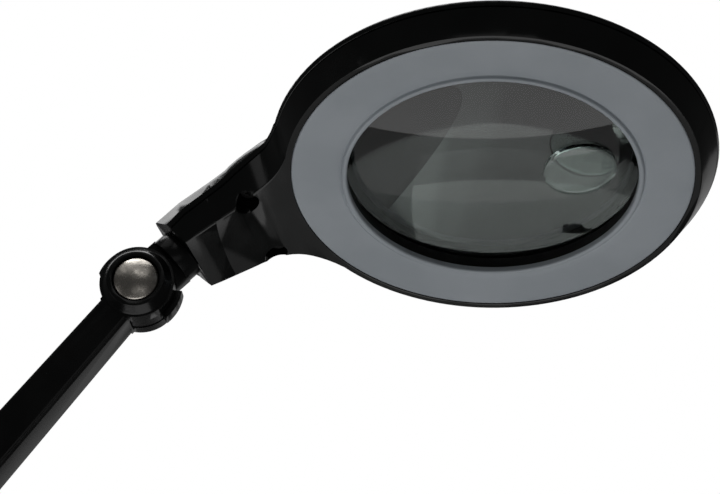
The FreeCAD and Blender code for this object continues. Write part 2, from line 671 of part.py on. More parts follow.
def arm_tube(start, end):
    outer = Part.Face(box_section(TUBE_X, TUBE_Y, start, EDGE_ROUND))
    inner = Part.Face(box_section(TUBE_X - TUBE_WALL, TUBE_Y - TUBE_WALL, start, 1.0))
    length = Vector(0, 0, end - start)
    whole = outer.extrude(length).cut(inner.extrude(length))
    for z in (start + PLUG / 2, end - PLUG / 2):
        whole = whole.cut(rod_y(PIN_R + 0.02, -30, 30, 0, z))
    return whole


def arm_pins(start, end):
    return [rod_y(PIN_R, -TUBE_Y, TUBE_Y, 0, z) for z in (start + PLUG / 2, end - PLUG / 2)]


# ---- what holds each pivot together ---------------------------------------------------
def pivot_bolt():
    shank = rod_y(BOLT_R, -SEAT_Y - 0.5, SEAT_Y + 2.6)
    head = on_y(hex_prism(13.0, SEAT_Y, SEAT_Y + 2.6), False)
    return shank.fuse(head)


def pivot_nut():
    nut = on_y(hex_prism(13.0, SEAT_Y, SEAT_Y + 2.5), True)
    return nut.cut(rod_y(BOLT_R + 0.02, 0, 20))


def pivot_washers():
    washers = []
    for side in (-1, 1):
        low, high = sorted((side * (EYE_HALF + 0.06), side * (SLOT_HALF - 0.04)))
        washers.append(rod_y(12.5, low, high).cut(rod_y(BOLT_R + 0.02, -9, 9)))
    return washers


def pivot_cap(forward):
    """Domed metal cap pressed into the cheek over the bolt head or nut."""
    skirt_top = FORK_HALF + COLLAR_H - 0.6
    sphere = (CAP_R ** 2 + CAP_RISE ** 2) / (2 * CAP_RISE)
    dome = Part.makeSphere(sphere, Vector(0, 0, skirt_top + CAP_RISE - sphere))
    outer = tube(CAP_R, SEAT_Y + 0.1, skirt_top + CAP_RISE).common(dome)
    inner_dome = Part.makeSphere(sphere - 0.8, Vector(0, 0, skirt_top + CAP_RISE - sphere))
    inner = tube(CAP_R - 0.8, SEAT_Y, skirt_top + CAP_RISE).common(inner_dome)
    return on_y(outer.cut(inner), forward)


def save_pivot(name, placement):
    save(name + "_bolt", pivot_bolt(), placement)
    save(name + "_nut", pivot_nut(), placement)
    save(name + "_washers", pivot_washers(), placement)
    save(name + "_cap_front", pivot_cap(False), placement)
    save(name + "_cap_rear", pivot_cap(True), placement)


# ---- post and clamp -------------------------------------------------------------------
def swivel_post():
    """Eye on a round collar, over the plain pin that turns in the clamp (world frame)."""
    eye = rod_y(EYE_R, -EYE_HALF, EYE_HALF, 0, SHOULDER_Z)
    web = block(-NOSE_X, NOSE_X, -EYE_HALF, EYE_HALF, SHOULDER_Z - TONGUE_START - 1, SHOULDER_Z)
    collar = revolved([
        (0, POST_TOP), (12.5, POST_TOP, 0.8), (12.5, POST_TOP + 4), (10.0, SHOULDER_Z - TONGUE_START),
        (0, SHOULDER_Z - TONGUE_START)])
    pin = tube(POST_R, 4.0, POST_TOP + 1)
    body = eye.fuse(web).fuse(collar).fuse(pin)
    return body.cut(rod_y(BOLT_R + RUN_CLEAR, -20, 20, 0, SHOULDER_Z))


def post_bush():
    bush = tube(BUSH_R, 8.0, 34.0, POST_R + RUN_CLEAR)
    return bush.fuse(tube(11.5, 34.0, 35.4, POST_R + RUN_CLEAR))


def clamp_body():
    """C-shaped bracket: upper jaw with the post socket, spine, lower jaw with the screw boss."""
    front = 34.0
    bottom = -THROAT - 12.0
    outline = [
        (SPINE_Y, JAW_THICK, 6), (front, JAW_THICK, 3), (front, 1.6, 0), (SPINE_Y + 9, 1.6, 3),
        (SPINE_Y + 9, -THROAT, 3), (front - 2, -THROAT, 2), (front - 2, bottom, 5), (SPINE_Y, bottom, 8)]
    wire = rounded_wire([(Vector(-JAW_X, y, z), r) for y, z, r in outline])
    bracket = Part.Face(wire).extrude(Vector(2 * JAW_X, 0, 0))
    corner_trim = block(-40, 40, -40, 60, -90, 20).cut(
        Part.Face(rounded_wire([
            (Vector(-JAW_X, SPINE_Y, -90), 4), (Vector(JAW_X, SPINE_Y, -90), 4),
            (Vector(JAW_X, front, -90), 9), (Vector(-JAW_X, front, -90), 9)])).extrude(Vector(0, 0, 120)))
    bracket = bracket.cut(corner_trim)
    socket = revolved([(0, 4), (15.5, 4), (15.5, JAW_THICK + 2), (13.0, 33.9, 1.0), (0, 33.9)])
    boss = tube(11.0, bottom - 6, bottom + 1)
    boss.translate(Vector(0, SCREW_AXIS_Y, 0))
    bracket = bracket.fuse(socket).fuse(boss)
    bracket = bracket.cut(tube(BUSH_R, 7.95, 40)).cut(tube(POST_R + 0.4, 3.6, 9))
    hole = tube(SCREW_R + RUN_CLEAR, bottom - 10, -THROAT + 1)
    hole.translate(Vector(0, SCREW_AXIS_Y, 0))
    return bracket.cut(hole)


def jaw_pad():
    """Rubber sheet on the upper jaw; its underside is the seat."""
    return block(-JAW_X + 2, JAW_X - 2, SPINE_Y + 13, 31.5, 0, 1.6)


def clamp_screw():
    """Threaded rod with a swivel ball neck at the pad and a cross hole for the handle."""
    screw = tube(SCREW_R, -112.0, PAD_Z - 4.6).fuse(tube(3.0, PAD_Z - 5, PAD_Z - 2.2))
    head = tube(8.0, -126.0, -111.0)
    screw = screw.fuse(head)
    screw.translate(Vector(0, SCREW_AXIS_Y, 0))
    bar_hole = Part.makeCylinder(HANDLE_R + RUN_CLEAR, 60, Vector(-30, SCREW_AXIS_Y, HANDLE_Z), X_AXIS)
    return screw.cut(bar_hole)


def clamp_handle():
    start = Vector(-HANDLE_HALF, SCREW_AXIS_Y, HANDLE_Z)
    return Part.makeCylinder(HANDLE_R, 2 * HANDLE_HALF, start, X_AXIS)


def handle_knobs():
    knobs = []
    for side in (-1, 1):
        start = Vector(side * HANDLE_HALF, SCREW_AXIS_Y, HANDLE_Z)
        knobs.append(Part.makeCylinder(5.0, 8, start, X_AXIS * side))
    return knobs


def clamp_pad():
    pad = revolved([
        (0, PAD_Z - 8), (6.5, PAD_Z - 8), (PAD_R, PAD_Z - 4.4), (PAD_R, PAD_Z - 1.6), (0, PAD_Z - 1.6)])
    pad = pad.cut(tube(3.1, PAD_Z - 9, PAD_Z - 2.1)).cut(tube(SCREW_R + 0.3, PAD_Z - 9, PAD_Z - 4.5))
    pad.translate(Vector(0, SCREW_AXIS_Y, 0))
    return pad


def pad_rubber():
    disc = tube(PAD_R - 0.4, PAD_Z - 1.6, PAD_Z)
    disc.translate(Vector(0, SCREW_AXIS_Y, 0))
    return disc


def power_inlet():
    """Low-voltage socket on the rear of the shoulder casting."""
    barrel = rod_y(INLET_R, 7.4, 12.4, 0, INLET_Z).cut(rod_y(2.8, 8.6, 13, 0, INLET_Z))
    pin = rod_y(1.0, 8.0, 12.0, 0, INLET_Z)
    flange = rod_y(6.2, 10.6, 11.4, 0, INLET_Z).cut(rod_y(4.0, 10, 12, 0, INLET_Z))
    return barrel.fuse(pin).fuse(flange)


# ---- build ----------------------------------------------------------------------------
os.makedirs("parts", exist_ok=True)

lower_whole = lower_shell_whole()
big_lens = lens()
save("lower_housing", lower_housing(lower_whole), HEAD_FRAME)
save("neck_end_cover", neck_end_cover(lower_whole), HEAD_FRAME)
save("upper_housing", upper_housing(), HEAD_FRAME)
save("diffuser_ring", diffuser_ring(), HEAD_FRAME)
save("led_board", led_board(), HEAD_FRAME)
save("leds", leds(), HEAD_FRAME)
save("board_screws", board_screws(), HEAD_FRAME)
save("driver_board", driver_board(), HEAD_FRAME)
save("inner_barrel", inner_barrel(), HEAD_FRAME)
save("barrel_screws", barrel_screws(), HEAD_FRAME)
save("lens", big_lens, HEAD_FRAME)
save("lens_insert", lens_insert(big_lens), HEAD_FRAME)
save("lens_seal", lens_seal(), HEAD_FRAME)
save("lens_retainer", lens_retainer(), HEAD_FRAME)
save("neck_screws", neck_screws(), HEAD_FRAME)
save("switch_bezel", switch_bezel(), HEAD_FRAME)
save("switch_button", switch_button(), HEAD_FRAME)
save("flip_cover", flip_cover(), HEAD_FRAME)
save("cover_pin", cover_pin(), HEAD_FRAME)

roll_frame = HEAD_FRAME.multiply(ROLL_IN_HEAD)
save("roll_plate", roll_plate(), roll_frame)
save("roll_washers", roll_washers(), roll_frame)
save("roll_nut", roll_nut(), roll_frame)
save("knuckle_tongue", knuckle_tongue(), TONGUE_FRAME)

save("knuckle_fork", fork(LONG_NOSE), UPPER_FROM_KNUCKLE)
save("upper_arm_tube", arm_tube(SHORT_NOSE, UPPER_ARM - LONG_NOSE), UPPER_FROM_ELBOW)
save("upper_arm_pins", arm_pins(SHORT_NOSE, UPPER_ARM - LONG_NOSE), UPPER_FROM_ELBOW)
save("elbow_fork", fork(SHORT_NOSE), UPPER_FROM_ELBOW)
save("elbow_eye", eye_casting(SHORT_NOSE), LOWER_FROM_ELBOW)
save("lower_arm_tube", arm_tube(SHORT_NOSE, LOWER_ARM - SHORT_NOSE), LOWER_FROM_SHOULDER)
save("lower_arm_pins", arm_pins(SHORT_NOSE, LOWER_ARM - SHORT_NOSE), LOWER_FROM_SHOULDER)
save("shoulder_fork", fork(SHORT_NOSE).cut(rod_y(INLET_R, 7.4, 20, 0, INLET_Z)), LOWER_FROM_SHOULDER)
save("power_inlet", power_inlet(), LOWER_FROM_SHOULDER)
save_pivot("knuckle", UPPER_FROM_KNUCKLE)
save_pivot("elbow", UPPER_FROM_ELBOW)
save_pivot("shoulder", LOWER_FROM_SHOULDER)

save("swivel_post", swivel_post())
save("post_bush", post_bush())
save("clamp_body", clamp_body())
save("jaw_pad", jaw_pad())
save("clamp_screw", clamp_screw())
save("clamp_handle", clamp_handle())
save("handle_knobs", handle_knobs())
save("clamp_pad", clamp_pad())
save("pad_rubber", pad_rubber())
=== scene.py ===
import json
import math

import bmesh
import bpy
from mathutils import Matrix, Vector


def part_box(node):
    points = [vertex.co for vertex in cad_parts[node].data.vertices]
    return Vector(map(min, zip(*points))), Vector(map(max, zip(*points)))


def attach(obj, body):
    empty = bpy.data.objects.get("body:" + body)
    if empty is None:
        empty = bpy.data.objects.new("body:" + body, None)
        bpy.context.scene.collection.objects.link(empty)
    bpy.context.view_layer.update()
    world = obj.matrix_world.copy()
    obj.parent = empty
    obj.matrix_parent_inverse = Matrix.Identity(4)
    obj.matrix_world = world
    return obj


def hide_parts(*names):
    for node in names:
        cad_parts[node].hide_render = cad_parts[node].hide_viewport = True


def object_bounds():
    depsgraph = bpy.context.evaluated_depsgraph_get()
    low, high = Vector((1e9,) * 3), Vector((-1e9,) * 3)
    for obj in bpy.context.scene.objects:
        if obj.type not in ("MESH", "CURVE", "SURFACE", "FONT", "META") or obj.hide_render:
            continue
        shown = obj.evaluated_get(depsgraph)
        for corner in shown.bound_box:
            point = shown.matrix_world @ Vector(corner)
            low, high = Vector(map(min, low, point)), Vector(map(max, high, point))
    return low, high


# Magnifying desk lamp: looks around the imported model. Metres, same frame as the model.

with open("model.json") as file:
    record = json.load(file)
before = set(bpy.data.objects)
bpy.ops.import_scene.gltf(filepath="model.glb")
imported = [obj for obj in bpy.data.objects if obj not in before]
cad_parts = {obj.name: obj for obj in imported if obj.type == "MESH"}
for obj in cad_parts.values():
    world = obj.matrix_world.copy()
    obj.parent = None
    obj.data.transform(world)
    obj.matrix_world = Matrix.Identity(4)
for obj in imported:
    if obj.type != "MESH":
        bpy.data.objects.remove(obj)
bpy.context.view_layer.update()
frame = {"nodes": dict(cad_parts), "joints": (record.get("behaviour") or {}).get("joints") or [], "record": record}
NODES = frame["nodes"]
JOINTS = {joint["name"]: joint for joint in frame["joints"]}
SLOT_OF = {part["node"]: part["material_slot"] for part in frame["record"]["subparts"]}
BODY_OF = {node: body for body, nodes in frame["record"]["behaviour"]["bodies"].items() for node in nodes}
MM = 0.001

# ---- frames read from the model ---------------------------------------------------------
KNUCKLE = Vector(JOINTS["knuckle_tilt"]["pos_m"])
HEAD_Y = Vector(JOINTS["cover_hinge"]["axis"])
HEAD_Z = -Vector(JOINTS["switch_press"]["axis"])
HEAD_X = HEAD_Y.cross(HEAD_Z)
HINGE_OUT = 77.4 * MM          # dust cover hinge from the lens axis
HINGE_UP = 25.7 * MM           # and above the lens-side plane
HEAD_ORIGIN = Vector(JOINTS["cover_hinge"]["pos_m"]) - HEAD_X * HINGE_OUT - HEAD_Z * HINGE_UP


def axes_matrix(origin, x_axis, y_axis, z_axis):
    """Matrix whose columns are the given axes and origin."""
    rows = [(x_axis[k], y_axis[k], z_axis[k], origin[k]) for k in range(3)]
    return Matrix(rows + [(0, 0, 0, 1)])


HEAD = axes_matrix(HEAD_ORIGIN, HEAD_X, HEAD_Y, HEAD_Z)


# ---- camera -------------------------------------------------------------------------------
SENSOR_WIDTH = 36.0            # mm, as is the lens
LONG_LENS = 147.0
NEAREST = 0.05
CAMERA_RIGHT = Vector((0.99741, 0.06666, 0.02718))
CAMERA_UP = Vector((0.0, -0.37756, 0.92598))
FROM_KNUCKLE = Vector((0.17969, -1.13180, -0.44222))


def make_camera():
    """Long lens, a little below the head and looking up at its lens side."""
    data = bpy.data.cameras.new("camera")
    data.sensor_width = SENSOR_WIDTH
    data.lens = LONG_LENS
    data.clip_start = NEAREST
    data.dof.use_dof = False
    camera = bpy.data.objects.new("camera", data)
    bpy.context.scene.collection.objects.link(camera)
    back = CAMERA_RIGHT.cross(CAMERA_UP)
    camera.matrix_world = axes_matrix(KNUCKLE + FROM_KNUCKLE, CAMERA_RIGHT, CAMERA_UP, back)
    bpy.context.scene.camera = camera


# ---- material tools ---------------------------------------------------------------------
def ramp(tree, source, low, high, start=0.35, end=0.65):
    """Colour ramp between two colours, driven by a texture output."""
    node = tree.nodes.new("ShaderNodeValToRGB")
    node.color_ramp.elements[0].position = start
    node.color_ramp.elements[1].position = end
    node.color_ramp.elements[0].color = (*low, 1)
    node.color_ramp.elements[1].color = (*high, 1)
    tree.links.new(source, node.inputs["Fac"])
    return node.outputs["Color"]


def spread(tree, source, low, high):
    """Maps a texture's 0.3 to 0.7 onto low to high."""
    node = tree.nodes.new("ShaderNodeMapRange")
    node.inputs["From Min"].default_value = 0.3
    node.inputs["From Max"].default_value = 0.7
    node.inputs["To Min"].default_value = low
    node.inputs["To Max"].default_value = high
    tree.links.new(source, node.inputs["Value"])
    return node.outputs["Result"]


def noise(tree, scale, detail=3.0, stretch=(1, 1, 1)):
    """Noise in the object's own coordinates; scale is in features per metre."""
    place = tree.nodes.new("ShaderNodeTexCoord")
    mapping = tree.nodes.new("ShaderNodeMapping")
    mapping.inputs["Scale"].default_value = stretch
    tree.links.new(place.outputs["Object"], mapping.inputs["Vector"])
    texture = tree.nodes.new("ShaderNodeTexNoise")
    texture.inputs["Scale"].default_value = scale
    texture.inputs["Detail"].default_value = detail
    tree.links.new(mapping.outputs["Vector"], texture.inputs["Vector"])
    return texture.outputs["Fac"]


def bump(tree, source, shader, distance, before=None):
    """Relief of the given depth in metres, laid over an earlier bump if there is one."""
    node = tree.nodes.new("ShaderNodeBump")
    node.inputs["Distance"].default_value = distance
    node.inputs["Strength"].default_value = 1.0
    tree.links.new(source, node.inputs["Height"])
    if before is not None:
        tree.links.new(before, node.inputs["Normal"])
    tree.links.new(node.outputs["Normal"], shader.inputs["Normal"])
    return node.outputs["Normal"]


def base_material(name, metallic=0.0, specular=0.5, ior=1.5):
    """New material with its node tree and its principled shader."""
    material = bpy.data.materials.new(name)
    material.use_nodes = True
    tree = material.node_tree
    shader = tree.nodes["Principled BSDF"]
    shader.inputs["Metallic"].default_value = metallic
    shader.inputs["Specular IOR Level"].default_value = specular
    shader.inputs["IOR"].default_value = ior
    return material, tree, shader


def textured(
        name, low, high, rough, patch, grain, grain_depth, metallic=0.0, specular=0.5, stretch=(1, 1, 1)):
    """Material with patchy colour and roughness and a fine grain.

    patch and grain are features per metre, grain_depth is in metres."""
    material, tree, shader = base_material(name, metallic, specular)
    broad = noise(tree, patch, 4.0, stretch)
    tree.links.new(ramp(tree, broad, low, high), shader.inputs["Base Color"])
    tree.links.new(spread(tree, broad, rough[0], rough[1]), shader.inputs["Roughness"])
    fine = noise(tree, grain, 2.0, stretch)
    bump(tree, fine, shader, grain_depth)
    return material


def gloss_black():
    """Glossy moulded plastic with faint smudges and a little moulding ripple."""
    material, tree, shader = base_material("housing_black", specular=0.42)
    smudge = noise(tree, 45, 5.0)
    colour = ramp(tree, smudge, (0.0020, 0.0025, 0.0023), (0.0036, 0.0041, 0.0040))
    tree.links.new(colour, shader.inputs["Base Color"])
    tree.links.new(spread(tree, smudge, 0.10, 0.19), shader.inputs["Roughness"])
    ripple = bump(tree, noise(tree, 60, 1.0), shader, 0.00006)
    bump(tree, noise(tree, 2600, 2.0), shader, 0.000004, before=ripple)
    return material


def milky():
    """Milky satin acrylic of the lit ring."""
    material, tree, shader = base_material("diffuser_milky", specular=0.4)
    cloud = noise(tree, 28, 4.0)
    colour = ramp(tree, cloud, (0.380, 0.416, 0.448), (0.428, 0.464, 0.498))
    tree.links.new(colour, shader.inputs["Base Color"])
    tree.links.new(spread(tree, cloud, 0.30, 0.42), shader.inputs["Roughness"])
    shader.inputs["Subsurface Weight"].default_value = 0.35
    shader.inputs["Subsurface Radius"].default_value = (0.004, 0.004, 0.004)
    shader.inputs["Subsurface Scale"].default_value = 0.6
    bump(tree, noise(tree, 1800, 2.0), shader, 0.000006)
    return material


def clear_glass():
    """Faintly green glass with a thin film of dust."""
    material, tree, shader = base_material("lens_glass", ior=1.52)
    shader.inputs["Base Color"].default_value = (0.88, 0.96, 0.93, 1)
    shader.inputs["Transmission Weight"].default_value = 1.0
    film = noise(tree, 30, 3.0)
    tree.links.new(spread(tree, film, 0.0, 0.012), shader.inputs["Roughness"])
    return material


def mottled_nickel():
    """Worn nickel plate: warm, mottled, with fine scratches."""
    material, tree, shader = base_material("nickel", metallic=1.0)
    mottle = noise(tree, 420, 6.0)
    colour = ramp(tree, mottle, (0.34, 0.32, 0.29), (0.66, 0.62, 0.56), 0.3, 0.7)
    tree.links.new(colour, shader.inputs["Base Color"])
    tree.links.new(spread(tree, mottle, 0.36, 0.20), shader.inputs["Roughness"])
    pits = bump(tree, noise(tree, 900, 5.0), shader, 0.00004)
    bump(tree, noise(tree, 2200, 2.0, (1, 1, 9)), shader, 0.00001, before=pits)
    return material


def make_materials():
    """One procedural material for each material slot of the record.

    Each plain finish gives its darkest and palest colour, its range of roughness, how many patches and grains
    there are in a metre, and how deep the grain is in metres."""
    finishes = (
        ("cover_black", (0.028, 0.028, 0.029), (0.036, 0.036, 0.037), (0.16, 0.28), 50, 1800, 0.000006,
         {"specular": 0.35}),
        ("barrel_black", (0.004, 0.004, 0.004), (0.007, 0.007, 0.007), (0.40, 0.55), 80, 2400, 0.00002,
         {"specular": 0.3}),
        ("button_grey", (0.045, 0.045, 0.05), (0.06, 0.06, 0.065), (0.5, 0.62), 120, 3500, 0.00004, {}),
        ("board_white", (0.70, 0.71, 0.68), (0.78, 0.79, 0.76), (0.4, 0.5), 60, 900, 0.00001, {}),
        ("board_green", (0.015, 0.12, 0.05), (0.03, 0.19, 0.08), (0.3, 0.4), 90, 900, 0.00001, {}),
        ("led_yellow", (0.72, 0.60, 0.18), (0.85, 0.74, 0.28), (0.3, 0.4), 500, 3000, 0.00001, {}),
        ("rubber_black", (0.010, 0.010, 0.010), (0.022, 0.022, 0.021), (0.75, 0.92), 90, 1600, 0.00008,
         {"specular": 0.3}),
        ("arm_black", (0.0028, 0.0030, 0.0030), (0.0050, 0.0052, 0.0052), (0.18, 0.28), 40, 2100, 0.000012,
         {"specular": 0.3}),
        ("bush_brass", (0.52, 0.36, 0.14), (0.66, 0.48, 0.20), (0.28, 0.42), 120, 1500, 0.00002,
         {"metallic": 1.0, "stretch": (1, 1, 14)}),
        ("knob_black", (0.012, 0.012, 0.012), (0.02, 0.02, 0.02), (0.45, 0.58), 120, 2600, 0.00004,
         {"specular": 0.35}),
        ("black_steel", (0.002, 0.002, 0.002), (0.004, 0.004, 0.004), (0.50, 0.62), 300, 2400, 0.000012,
         {"specular": 0.2}),
        ("steel", (0.42, 0.42, 0.41), (0.60, 0.59, 0.57), (0.26, 0.42), 160, 1800, 0.00001,
         {"metallic": 1.0, "stretch": (1, 1, 6)}))
    materials = {
        "housing_black": gloss_black(),
        "diffuser_milky": milky(),
        "lens_glass": clear_glass(),
        "nickel": mottled_nickel()}
    for slot, low, high, rough, patch, grain, grain_depth, options in finishes:
        materials[slot] = textured(slot, low, high, rough, patch, grain, grain_depth, **options)
    return materials


MATERIALS = make_materials()


# ---- mesh tools ---------------------------------------------------------------------------
SAME_POINT = 2e-6              # metres; points closer than this are one point
FLAT_ANGLE = 0.03              # degrees; faces that turn less than this are one face
EDGE_ANGLE = 34.0              # an edge that turns more than this gets a small bevel
SHARP_ANGLE = EDGE_ANGLE + 14  # and one that turns more than this is shaded as a corner
TURNED_SHARP_ANGLE = 40


def set_material(piece, slot_name):
    """Gives a piece the material of a slot of the record."""
    piece.data.materials.clear()
    piece.data.materials.append(MATERIALS[slot_name])


def add_piece(name, mesh, slot_name, body, *replaced):
    """Object for a mesh that rides on a body, takes a slot's finish and may stand for CAD nodes."""
    piece = bpy.data.objects.new(name, mesh)
    bpy.context.scene.collection.objects.link(piece)
    set_material(piece, slot_name)
    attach(piece, body)
    if replaced:
        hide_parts(*replaced)
    return piece


def soften(mesh, angle):
    """Smooth shading, with a corner wherever the surface turns by more than the angle in degrees."""
    mesh.polygons.foreach_set("use_smooth", [True] * len(mesh.polygons))
    mesh.set_sharp_from_angle(angle=math.radians(angle))
    mesh.update()


def finished(node, bevel):
    """Copy of a CAD node that stands for it, with broken edges and smooth curved faces; bevel is in mm."""
    builder = bmesh.new()
    builder.from_mesh(NODES[node].data)
    bmesh.ops.remove_doubles(builder, verts=builder.verts, dist=SAME_POINT)
    bmesh.ops.dissolve_limit(
        builder, angle_limit=math.radians(FLAT_ANGLE), verts=builder.verts, edges=builder.edges,
        delimit={"NORMAL"})
    mesh = bpy.data.meshes.new("finished_" + node)
    builder.to_mesh(mesh)
    builder.free()
    piece = add_piece("finished_" + node, mesh, SLOT_OF[node], BODY_OF[node], node)
    edge = piece.modifiers.new("edge", "BEVEL")
    edge.width = bevel * MM
    edge.segments = 2
    edge.limit_method = "ANGLE"
    edge.angle_limit = math.radians(EDGE_ANGLE)
    edge.use_clamp_overlap = True
    edge.harden_normals = False
    soften(mesh, SHARP_ANGLE)
    return piece


def turned(name, profile, segments, slot_name, body, place, *replaced):
    """Solid of revolution about the local Z axis from closed (radius, height) points in millimetres."""
    builder = bmesh.new()
    rings = []
    for k in range(segments):
        turn = 2 * math.pi * k / segments
        ring = []
        for r, z in profile:
            ring.append(builder.verts.new((r * MM * math.cos(turn), r * MM * math.sin(turn), z * MM)))
        rings.append(ring)
    count = len(profile)
    for k in range(segments):
        ring, following = rings[k], rings[(k + 1) % segments]
        for i in range(count):
            j = (i + 1) % count
            builder.faces.new((ring[i], following[i], following[j], ring[j]))
    bmesh.ops.remove_doubles(builder, verts=builder.verts, dist=1e-7)
    bmesh.ops.recalc_face_normals(builder, faces=builder.faces)
    builder.transform(place)
    mesh = bpy.data.meshes.new(name)
    builder.to_mesh(mesh)
    builder.free()
    soften(mesh, TURNED_SHARP_ANGLE)
    return add_piece(name, mesh, slot_name, body, *replaced)


def arc_points(centre, radius, start, end, count):
    """Points on an arc in the (radius, height) plane, angles in degrees."""
    points = []
    for k in range(count + 1):
        turn = math.radians(start + (end - start) * k / count)
        points.append((centre[0] + radius * math.cos(turn), centre[1] + radius * math.sin(turn)))
    return points


# ---- head ---------------------------------------------------------------------------------
LENS_R = 63.5
LENS_SPHERE = 348.0
LENS_EDGE_Z = 8.4
LENS_EDGE = 2.4
INSERT_OUT = 35.6              # little lens's centre from the big one's
INSERT_TURN = 14.2             # and its direction, degrees from the head's X
INSERT_R = 14.95
INSERT_BULGE = 2.38            # how far the little lens's underside stands out
INSERT_UNDER_SPHERE = 150.0    # radius of the sphere that its underside follows
RING_INNER = 59.4
RING_BACK = 1.88
HEAD_EDGES = {                 # bevel of each finished node, in mm
    "lower_housing": 0.35, "upper_housing": 0.35, "neck_end_cover": 0.35, "flip_cover": 0.3,
    "inner_barrel": 0.2, "switch_bezel": 0.15, "neck_screws": 0.12}


def lens_profile():
    """Half section of the biconvex lens, from the axis on the lens side round to the axis on the rear."""
    reach = math.asin(LENS_R / LENS_SPHERE)
    sagitta = LENS_SPHERE - math.sqrt(LENS_SPHERE ** 2 - LENS_R ** 2)
    steps = 24
    points = []
    for k in range(steps + 1):
        turn = reach * k / steps
        rise = LENS_SPHERE * (1 - math.cos(turn))
        points.append((LENS_SPHERE * math.sin(turn), LENS_EDGE_Z - sagitta + rise))
    top = LENS_EDGE_Z + LENS_EDGE + sagitta
    for k in range(steps, -1, -1):
        turn = reach * k / steps
        points.append((LENS_SPHERE * math.sin(turn), top - LENS_SPHERE * (1 - math.cos(turn))))
    return points


def diffuser_profile():
    """Half section of the milky ring: soft raised lip, groove, satin face, rounded outer edge."""
    lip = arc_points((60.35, 0.05), 0.95, 180, 270, 6)
    lip += arc_points((60.75, 0.05), 0.95, 270, 352, 6)
    groove = [(61.85, 0.25), (62.0, 0.42), (62.2, 0.48), (62.4, 0.42), (62.6, 0.22), (62.95, 0.12)]
    face = [(66, 0.1), (72, 0.1), (78, 0.1), (81.2, 0.1)]
    edge = [(81.7, 0.16), (82.05, 0.35), (82.19, 0.7), (82.19, RING_BACK)]
    return lip + groove + face + edge + [(RING_INNER, RING_BACK)]


def insert_profile():
    """Half section of the strong little lens: its top follows the big lens's face, its underside bulges."""
    steps = (0, 2.5, 5, 7.5, 10, 12, 13.5, 14.6)
    under = [(r, r * r / (2 * INSERT_UNDER_SPHERE) - INSERT_BULGE) for r in steps]
    over = [(r, r * r / (2 * LENS_SPHERE) - 0.02) for r in (INSERT_R, 12.5, 10, 7.5, 5, 2.5, 0)]
    return under + [(INSERT_R, -1.35)] + over


def insert_place():
    """Frame of the little lens, square to the big lens's face."""
    tilt = math.asin(INSERT_OUT / LENS_SPHERE)
    face = LENS_EDGE_Z - (LENS_R ** 2 - INSERT_OUT ** 2) / (2 * LENS_SPHERE)
    turn = Matrix.Rotation(math.radians(INSERT_TURN), 4, "Z")
    out = Matrix.Translation((INSERT_OUT * MM, 0, face * MM))
    return HEAD @ turn @ out @ Matrix.Rotation(-tilt, 4, "Y")


def build_head():
    """Lenses and lit ring turned anew, and the shells and small pieces of the head finished."""
    turned("lens_glass_body", lens_profile(), 160, "lens_glass", "head", HEAD, "lens")
    turned("insert_glass", insert_profile(), 96, "lens_glass", "head", insert_place(), "lens_insert")
    turned("milky_ring", diffuser_profile(), 200, "diffuser_milky", "head", HEAD, "diffuser_ring")
    for node, bevel in HEAD_EDGES.items():
        finished(node, bevel)


# ---- arms and joints ------------------------------------------------------------------------
CAP_R = 9.5
CAP_RISE = 3.0
CAP_SKIRT = 12.6               # where the dome meets the cap's skirt, from the arm's middle plane
CAP_FOOT = 7.5
CAP_WALL = 0.8
ARM_EDGES = {                  # bevel of each finished node, in mm
    "knuckle_fork": 0.5, "elbow_fork": 0.5, "elbow_eye": 0.5, "shoulder_fork": 0.5, "knuckle_tongue": 0.5,
    "swivel_post": 0.5, "upper_arm_tube": 0.25, "lower_arm_tube": 0.25}


def cap_profile():
    """Half section of a domed pressed cap with a rolled shoulder."""
    sphere = (CAP_R ** 2 + CAP_RISE ** 2) / (2 * CAP_RISE)
    centre = (0, CAP_SKIRT + CAP_RISE - sphere)
    edge = math.degrees(math.acos(CAP_R / sphere))
    dome = arc_points(centre, sphere, 90, edge + 1.5, 16)
    inner = arc_points(centre, sphere - CAP_WALL, edge + 3, 90, 6)
    return dome + [(CAP_R, CAP_SKIRT - 0.35), (CAP_R, CAP_FOOT), (CAP_R - CAP_WALL, CAP_FOOT)] + inner


def build_caps():
    """A nickel cap over each end of each pivot bolt."""
    x_axis = Vector((1, 0, 0))
    for joint in ("shoulder", "elbow", "knuckle_tilt"):
        pivot = Vector(JOINTS[joint]["pos_m"])
        for side in ("front", "rear"):
            node = joint.split("_")[0] + "_cap_" + side
            low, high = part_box(node)
            outward = math.copysign(1.0, (low[1] + high[1]) / 2 - pivot.y)
            axis = Vector((0, outward, 0))
            place = axes_matrix(pivot, x_axis, axis.cross(x_axis), axis)
            turned("dome_" + node, cap_profile(), 72, "nickel", BODY_OF[node], place, node)


def build_arms():
    """Forks, eyes, tubes, tongue and post, each with its edges broken."""
    for node, bevel in ARM_EDGES.items():
        finished(node, bevel)


# ---- clamp ----------------------------------------------------------------------------------
SCREW_PITCH = 3.0
THREAD_DEPTH = 0.85
SCREW_Y = 16.0                 # clamp screw's axis from the post's, along Y
SCREW_SIDES = 40
ROWS_PER_TURN = 8
THREAD_TURNS = 24
THREAD_FOOT = -110.5
SCREW_R = 5.0
BOSS_R = 8.0                   # round boss at the screw's foot, which the handle goes through
BOSS_CHAMFER_R = 7.2
TIP_R = 3.0                    # plain tip at the top, which turns in the clamp pad
CLOSING_R = 0.01               # the two ends are closed at this small radius
CLAMP_EDGES = {                # bevel of each finished node, in mm
    "clamp_body": 0.6, "handle_knobs": 1.0, "clamp_pad": 0.3, "clamp_handle": 0.3, "jaw_pad": 0.4,
    "pad_rubber": 0.4, "post_bush": 0.25}


